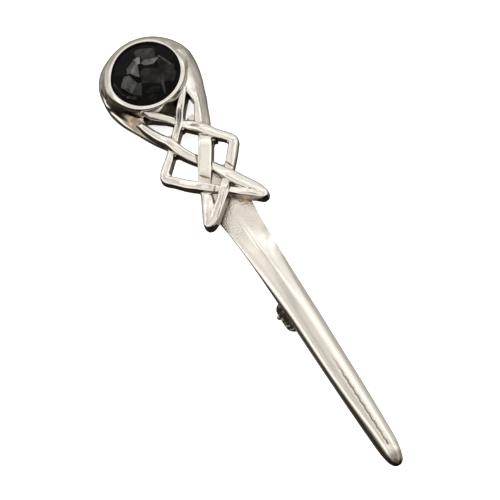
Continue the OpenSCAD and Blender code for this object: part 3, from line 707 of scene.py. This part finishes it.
# Darker along the worn line near the tip and at the tip's end, and where the casting's grain was left
# unpolished.
places = {tuple(np.round(point, 3)): darkening_and_grain for ring, soils in zip(blade_rings, blade_darkening_and_grain)
          for point, darkening_and_grain in zip(ring, soils)}
darkening_and_grain_layer = cast_blade.data.color_attributes.new("darkening_and_grain", "FLOAT_COLOR", "POINT")
for vertex in cast_blade.data.vertices:
    darkening_and_grain_layer.data[vertex.index].color = places.get(tuple(np.round(np.array(vertex.co), 3)), (0, 0, 0, 1))
lay_down(cast_blade)
dress(cast_blade, cast_metal("cast_blade_metal", ripple=0.00004, rough=0.12, stretch=0.3, wall=0.0))

# The stone: round black glass with a cut crown, pressed into the cup and held by the folded lip. Its flat
# facets lie along two crossing sets of lines, and each facet carries a painted grey, a painted reflection of
# deeper facets seen through the glass.
STONE_R = 6.35
STONE_TOP = 6.5
GIRDLE_LOW = 5.03
CROWN_FALL = 0.9
FACET_ACROSS = (-1.35, -0.66, -0.31, -0.08, 0.44, 0.79, 1.35)
FACET_ALONG = (-1.35, -0.72, -0.41, 0.02, 0.35, 0.68, 1.35)
FACET_TURN = math.radians(-29)
# Painted reflection grey of each deeper facet, from 0 to 1, and its corners; the first facet that holds a
# place counts.
PAINTED_REFLECTION_FACETS = [
    (0.39, (-0.5, 3.5), (0.5, 3.5), (0.7, 3.1), (0.2, 2.1), (-0.5, 2.1)),
    (0.35, (-2.2, 1.3), (-0.7, 2.5), (-0.4, 1.9), (-1.2, -0.3), (-1.6, 0.2)),
    (0.29, (0.3, 2.0), (1.0, 2.3), (3.0, 1.6), (3.4, 1.2), (2.1, 0.7), (0.7, 1.2)),
    (0.27, (3.5, 1.8), (3.8, 1.7), (4.9, -0.9), (4.5, -1.1)),
    (0.27, (-2.8, 1.6), (-2.3, 2.6), (-0.7, 3.3), (-0.5, 2.4), (-1.8, 1.2)),
    (0.20, (0.3, 4.9), (1.0, 5.1), (3.8, 3.7), (3.1, 1.9), (1.2, 3.0), (0.2, 3.7)),
    (0.18, (0.9, 3.0), (1.4, 3.2), (3.2, 1.9), (3.8, 1.4), (3.3, 1.2), (1.0, 2.3)),
    (0.25, (-4.9, 0.2), (-3.5, 1.6), (-2.6, 1.2), (-2.1, -1.0), (-3.8, -2.1), (-4.2, -1.6)),
    (0.17, (-3.8, -2.1), (-2.1, -1.0), (-1.4, -1.4), (-2.6, -3.5), (-3.7, -2.6)),
    (0.14, (-1.4, -1.5), (-0.6, 0.6), (0.2, 0.9), (2.3, -0.5), (2.4, -1.4), (1.4, -3.3)),
    (0.11, (-1.7, -3.1), (-0.3, -3.0), (0.9, -3.8), (0.5, -4.4), (-1.7, -3.8)),
    (0.05, (-1.6, -1.7), (1.2, -3.4), (0.9, -4.7), (-2.1, -3.8)),
    (0.18, (1.4, -3.5), (1.7, -2.8), (2.1, -3.1), (1.2, -5.4), (0.9, -5.4)),
    (0.13, (2.3, -0.5), (3.3, 1.0), (4.0, 0.5), (4.7, -1.0), (3.5, -1.7), (2.4, -1.4)),
    (0.15, (2.3, -1.4), (3.5, -1.7), (5.2, -0.9), (4.5, -3.1), (3.5, -4.2), (2.6, -3.5), (1.6, -3.3)),
    (0.18, (-5.2, -2.1), (-4.9, -1.9), (-3.5, -3.1), (-3.8, -3.5)),
    (0.15, (-5.8, 1.4), (-5.4, 2.1), (-5.4, -0.7), (-4.9, -1.7), (-5.4, -1.4)),
    (0.10, (-2.2, -4.2), (-1.0, -4.3), (0.0, -4.9), (-1.2, -5.6)),
]
DARKEST = 0.05
bpy.ops.object.select_all(action="DESELECT")
bpy.ops.mesh.primitive_cylinder_add(vertices=144, radius=STONE_R, depth=1.0, end_fill_type="NGON",
                                    location=(0, 0, GIRDLE_LOW + 0.5))
stone = bpy.context.object
stone.name = stone.data.name = "cut_stone"
bpy.ops.object.transform_apply(location=True)
across = Vector((math.cos(FACET_TURN), math.sin(FACET_TURN), 0))
along = Vector((-math.sin(FACET_TURN), math.cos(FACET_TURN), 0))
cuts = [(across * (s * STONE_R), across) for s in FACET_ACROSS[1:-1]]
cuts += [(along * (s * STONE_R), along) for s in FACET_ALONG[1:-1]]
for _, *corners in PAINTED_REFLECTION_FACETS:
    for (x1, y1), (x2, y2) in zip(corners, corners[1:] + corners[:1]):
        cuts.append((Vector((x1, y1, 0)), Vector((y1 - y2, x2 - x1, 0)).normalized()))
bpy.ops.object.mode_set(mode="EDIT")
for through, facing_way in cuts:
    bpy.ops.mesh.select_all(action="SELECT")
    bpy.ops.mesh.bisect(plane_co=through, plane_no=facing_way)
bpy.ops.object.mode_set(mode="OBJECT")


def fall_at(share, lines):
    """How far the crown has fallen at a share of the radius, on the flat between two lines."""
    return float(np.interp(share, lines, [CROWN_FALL * c * c for c in lines]))


def holds(corners, x, y):
    """Whether the facet with these corners holds the place."""
    inside = False
    for (x1, y1), (x2, y2) in zip(corners, corners[1:] + corners[:1]):
        if (y1 > y) != (y2 > y) and x < x1 + (y - y1) / (y2 - y1) * (x2 - x1):
            inside = not inside
    return inside


for vertex in stone.data.vertices:
    if vertex.co.z > GIRDLE_LOW + 0.5:
        a, b = vertex.co.dot(across) / STONE_R, vertex.co.dot(along) / STONE_R
        vertex.co.z = STONE_TOP - fall_at(a, FACET_ACROSS) - fall_at(b, FACET_ALONG)
tone_layer = stone.data.color_attributes.new("facet_tone", "FLOAT_COLOR", "CORNER")
for polygon in stone.data.polygons:
    x, y, _ = polygon.center
    reflection_grey = next((tone for tone, *corners in PAINTED_REFLECTION_FACETS if holds(corners, x, y)), DARKEST)
    for loop in polygon.loop_indices:
        tone_layer.data[loop].color = (reflection_grey, reflection_grey, reflection_grey, 1)
lay_down(stone)
bpy.ops.object.shade_flat()
black_glass = bpy.data.materials.new("black_glass")
black_glass.use_nodes = True
nodes, links = black_glass.node_tree.nodes, black_glass.node_tree.links
glass = nodes["Principled BSDF"]
facet = nodes.new("ShaderNodeAttribute")
facet.attribute_name = "facet_tone"
light = nodes.new("ShaderNodeGamma")
socket(light, "Gamma", 2.2)
links.new(facet.outputs["Color"], light.inputs["Color"])
place = nodes.new("ShaderNodeTexCoord")
# The painted reflection greys vary in cloudy and splintered patches.
cloud = nodes.new("ShaderNodeTexNoise")
socket(cloud, "Scale", 900)
socket(cloud, "Detail", 3)
links.new(place.outputs["Object"], cloud.inputs["Vector"])
depth = nodes.new("ShaderNodeMapRange")
for key, value in (("From Min", 0.3), ("From Max", 0.7), ("To Min", 0.65), ("To Max", 1.5)):
    socket(depth, key, value)
links.new(cloud.outputs["Fac"], depth.inputs["Value"])
splinters = nodes.new("ShaderNodeTexVoronoi")
socket(splinters, "Scale", 820)
links.new(place.outputs["Object"], splinters.inputs["Vector"])
splinter = nodes.new("ShaderNodeSeparateColor")
links.new(splinters.outputs["Color"], splinter.inputs["Color"])
spread = nodes.new("ShaderNodeMapRange")
for key, value in (("To Min", 0.55), ("To Max", 1.45)):
    socket(spread, key, value)
links.new(splinter.outputs["Red"], spread.inputs["Value"])
mosaic = nodes.new("ShaderNodeMath")
mosaic.operation = "MULTIPLY"
links.new(depth.outputs["Result"], mosaic.inputs[0])
links.new(spread.outputs["Result"], mosaic.inputs[1])
# The painted reflection grey, so varied, becomes the glass's colour.
deep = nodes.new("ShaderNodeVectorMath")
deep.operation = "SCALE"
links.new(light.outputs["Color"], deep.inputs[0])
links.new(mosaic.outputs[0], deep.inputs["Scale"])
links.new(deep.outputs["Vector"], glass.inputs["Base Color"])
socket(glass, "Roughness", 0.04)
socket(glass, "Specular IOR Level", 0.08)
stone.data.materials.clear()
stone.data.materials.append(black_glass)
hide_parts("stone")
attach(stone, "brooch")

# Hinge, catch and stem: very dark fittings soldered to the back, and a drawn steel stem.


def fitting_metal(name, colour, worn_colour, rough, grain_scale, painted_highlight_at=None):
    """Fitting or drawn metal: its colour with wear in it, fine marks along or across the work, and, where a
    place is given, a painted highlight round it.
    """
    metal = bpy.data.materials.new(name)
    metal.use_nodes = True
    nodes, links = metal.node_tree.nodes, metal.node_tree.links
    shader = nodes["Principled BSDF"]
    socket(shader, "Metallic", 1.0)
    place = nodes.new("ShaderNodeTexCoord")
    rubbed = nodes.new("ShaderNodeTexNoise")
    socket(rubbed, "Scale", 1600)
    socket(rubbed, "Detail", 4)
    links.new(place.outputs["Object"], rubbed.inputs["Vector"])
    edge = nodes.new("ShaderNodeMapRange")
    for key, value in (("From Min", 0.52), ("From Max", 0.68)):
        socket(edge, key, value)
    links.new(rubbed.outputs["Fac"], edge.inputs["Value"])
    tone = nodes.new("ShaderNodeMix")
    tone.data_type = "RGBA"
    tone.inputs[6].default_value = (*colour, 1)
    tone.inputs[7].default_value = (*worn_colour, 1)
    worn = edge.outputs["Result"]
    if painted_highlight_at:
        # Painted highlight: the colour turns bright close round the given place.
        apart = nodes.new("ShaderNodeVectorMath")
        apart.operation = "DISTANCE"
        apart.inputs[1].default_value = painted_highlight_at
        links.new(place.outputs["Object"], apart.inputs[0])
        near = nodes.new("ShaderNodeMapRange")
        for key, value in (("From Min", 0.00035), ("From Max", 0.00055), ("To Min", 1.0), ("To Max", 0.0)):
            socket(near, key, value)
        links.new(apart.outputs["Value"], near.inputs["Value"])
        either = nodes.new("ShaderNodeMath")
        either.operation = "MAXIMUM"
        links.new(worn, either.inputs[0])
        links.new(near.outputs["Result"], either.inputs[1])
        worn = either.outputs[0]
    links.new(worn, tone.inputs[0])
    links.new(tone.outputs[2], shader.inputs["Base Color"])
    wear = nodes.new("ShaderNodeMapRange")
    for key, value in (("To Min", rough), ("To Max", rough + 0.15)):
        socket(wear, key, value)
    links.new(rubbed.outputs["Fac"], wear.inputs["Value"])
    links.new(wear.outputs["Result"], shader.inputs["Roughness"])
    lines = nodes.new("ShaderNodeMapping")
    socket(lines, "Scale", grain_scale)
    links.new(place.outputs["Object"], lines.inputs["Vector"])
    marks = nodes.new("ShaderNodeTexNoise")
    socket(marks, "Scale", 1.0)
    socket(marks, "Detail", 2)
    links.new(lines.outputs["Vector"], marks.inputs["Vector"])
    bump = nodes.new("ShaderNodeBump")
    socket(bump, "Strength", 0.6)
    socket(bump, "Distance", 0.00003)
    links.new(marks.outputs["Fac"], bump.inputs["Height"])
    links.new(bump.outputs["Normal"], shader.inputs["Normal"])
    return metal


FITTING_DARK = (0.035, 0.029, 0.024)
EVEN_GRAIN = (2600, 2600, 2600)
dark_fitting = fitting_metal("dark_fitting", FITTING_DARK, (0.50, 0.46, 0.40), 0.14, EVEN_GRAIN)
# A painted highlight on the lever's ball, at the left end of the sleeve.
ball_end = min((vertex.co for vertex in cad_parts["catch_sleeve"].data.vertices), key=lambda co: co.x)
sleeve_fitting = fitting_metal("sleeve_fitting", FITTING_DARK, (0.80, 0.77, 0.72), 0.12, EVEN_GRAIN,
                             painted_highlight_at=tuple(ball_end + Vector((0.0003, 0, 0))))
steel_wire = fitting_metal("steel_wire", (0.66, 0.65, 0.63), (0.52, 0.51, 0.49), 0.18, (5200, 380, 5200))
for node, finish in (("hinge_bracket", dark_fitting), ("catch_housing", dark_fitting),
                     ("catch_sleeve", sleeve_fitting), ("hinge_rivet", steel_wire), ("pin_stem", steel_wire)):
    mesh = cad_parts[node].data
    mesh.materials.clear()
    mesh.materials.append(finish)

# The ground the pin lies on, the studio's light, and the camera.
bpy.ops.mesh.primitive_plane_add(size=3, location=(0, 0, 0))
ground = bpy.context.object
ground.name = "ground"
paper = bpy.data.materials.new("paper")
paper.use_nodes = True
sheet = paper.node_tree.nodes["Principled BSDF"]
socket(sheet, "Base Color", (0.93, 0.93, 0.93, 1))
socket(sheet, "Roughness", 0.9)
socket(sheet, "Emission Color", (1, 1, 1, 1))
socket(sheet, "Emission Strength", 0.75)
ground.data.materials.append(paper)
ground.visible_glossy = False

studio = bpy.data.worlds.new("studio")
bpy.context.scene.world = studio
studio.use_nodes = True
sky, wires = studio.node_tree.nodes, studio.node_tree.links
background = sky["Background"]
direction = sky.new("ShaderNodeTexCoord")
parts = sky.new("ShaderNodeSeparateXYZ")
wires.new(direction.outputs["Generated"], parts.inputs[0])


def tent(stops):
    """A ramp of the light by height above the horizon, from straight down (0) to straight up (1)."""
    height = sky.new("ShaderNodeMapRange")
    socket(height, "From Min", -1.0)
    wires.new(parts.outputs["Z"], height.inputs["Value"])
    ramp = sky.new("ShaderNodeValToRGB")
    wires.new(height.outputs["Result"], ramp.inputs["Fac"])
    ramp.color_ramp.elements[0].position = stops[0][0]
    ramp.color_ramp.elements[0].color = (*stops[0][1], 1)
    ramp.color_ramp.elements[1].position = stops[-1][0]
    ramp.color_ramp.elements[1].color = (*stops[-1][1], 1)
    for position, colour in stops[1:-1]:
        ramp.color_ramp.elements.new(position).color = (*colour, 1)
    return ramp.outputs["Color"]


lit = tent([(0.0, (0.16, 0.140, 0.116)), (0.20, (0.26, 0.240, 0.212)), (0.35, (0.40, 0.378, 0.345)),
            (0.46, (0.49, 0.463, 0.425)), (0.54, (0.61, 0.58, 0.535)), (0.62, (0.77, 0.74, 0.685)),
            (0.70, (0.96, 0.93, 0.87)), (0.78, (1.14, 1.12, 1.07)), (0.835, (1.12, 1.10, 1.05)),
            (0.872, (0.84, 0.80, 0.745)), (0.91, (0.79, 0.75, 0.695)), (1.0, (0.86, 0.82, 0.765))])
unlit = tent([(0.0, (0.07, 0.056, 0.040)), (0.25, (0.033, 0.027, 0.020)), (0.45, (0.028, 0.023, 0.018)),
              (0.56, (0.06, 0.050, 0.042)), (0.64, (0.28, 0.25, 0.22)), (0.71, (0.72, 0.68, 0.63)),
              (0.79, (1.10, 1.07, 1.01)), (0.83, (1.04, 1.01, 0.95)), (0.87, (0.80, 0.76, 0.705)),
              (0.91, (0.76, 0.72, 0.665)), (1.0, (0.86, 0.82, 0.765))])
# The dark side of the room lies to the left and in front, towards the blade's tip.
facing = sky.new("ShaderNodeVectorMath")
facing.operation = "DOT_PRODUCT"
wires.new(direction.outputs["Generated"], facing.inputs[0])
facing.inputs[1].default_value = (-0.574, -0.819, 0)
share = sky.new("ShaderNodeMapRange")
share.interpolation_type = "SMOOTHSTEP"
socket(share, "From Min", -0.18)
socket(share, "From Max", 0.10)
wires.new(facing.outputs["Value"], share.inputs["Value"])
room = sky.new("ShaderNodeMix")
room.data_type = "RGBA"
wires.new(share.outputs["Result"], room.inputs[0])
wires.new(lit, room.inputs[6])
wires.new(unlit, room.inputs[7])
# The tent's darker end, beyond the blade's tip.
towards = sky.new("ShaderNodeVectorMath")
towards.operation = "DOT_PRODUCT"
wires.new(direction.outputs["Generated"], towards.inputs[0])
towards.inputs[1].default_value = (-0.2, -0.98, 0)
gloom = sky.new("ShaderNodeMapRange")
gloom.interpolation_type = "SMOOTHSTEP"
for key, value in (("From Min", 0.40), ("From Max", 0.75), ("To Min", 1.0), ("To Max", 0.14)):
    socket(gloom, key, value)
wires.new(towards.outputs["Value"], gloom.inputs["Value"])
# Seams and folds in the light tent's cloth.
folds = sky.new("ShaderNodeTexNoise")
socket(folds, "Scale", 4.5)
socket(folds, "Detail", 2.0)
wires.new(direction.outputs["Generated"], folds.inputs["Vector"])
shade = sky.new("ShaderNodeMapRange")
for key, value in (("From Min", 0.35), ("From Max", 0.62), ("To Min", 0.62), ("To Max", 1.12)):
    socket(shade, key, value)
wires.new(folds.outputs["Fac"], shade.inputs["Value"])
folded = sky.new("ShaderNodeMix")
folded.data_type = "RGBA"
folded.blend_type = "MULTIPLY"
socket(folded, 0, 1.0)
wires.new(room.outputs[2], folded.inputs[6])
dimmed = sky.new("ShaderNodeMath")
dimmed.operation = "MULTIPLY"
wires.new(shade.outputs["Result"], dimmed.inputs[0])
wires.new(gloom.outputs["Result"], dimmed.inputs[1])
wires.new(dimmed.outputs[0], folded.inputs[7])
wires.new(folded.outputs[2], background.inputs["Color"])
socket(background, "Strength", 1.1)

bpy.ops.object.light_add(type="AREA", location=(0.05, 0.25, 1.2))
key_light = bpy.context.object
key_light.name = "overhead_light"
key_light.data.size = 1.2
key_light.data.energy = 9.0
key_light.visible_glossy = False

AIM = (-1.3816, -39.3783, 2.9576)
TO_CAMERA = Vector((-0.06187, -0.48678, 0.87133))
IMAGE_UP = Vector((0.5179, 0.73062, 0.44495))
AWAY = 4.0
SENSOR_WIDTH = 36
SEEN_WIDTH = 0.08701
lens = bpy.data.cameras.new("product_camera")
camera = bpy.data.objects.new("product_camera", lens)
bpy.context.scene.collection.objects.link(camera)
turn = Matrix.Rotation(-PITCH, 3, "X")
back = (turn @ TO_CAMERA).normalized()
side_way = (turn @ IMAGE_UP).cross(back).normalized()
up_way = back.cross(side_way)
place = LYING @ Vector(AIM) + AWAY * back
camera.matrix_world = Matrix.Translation(place) @ Matrix((side_way, up_way, back)).transposed().to_4x4()
lens.sensor_width = SENSOR_WIDTH
lens.lens = SENSOR_WIDTH * AWAY / SEEN_WIDTH
lens.clip_end = 12
bpy.context.scene.camera = camera
bpy.context.scene.view_settings.view_transform = "Standard"
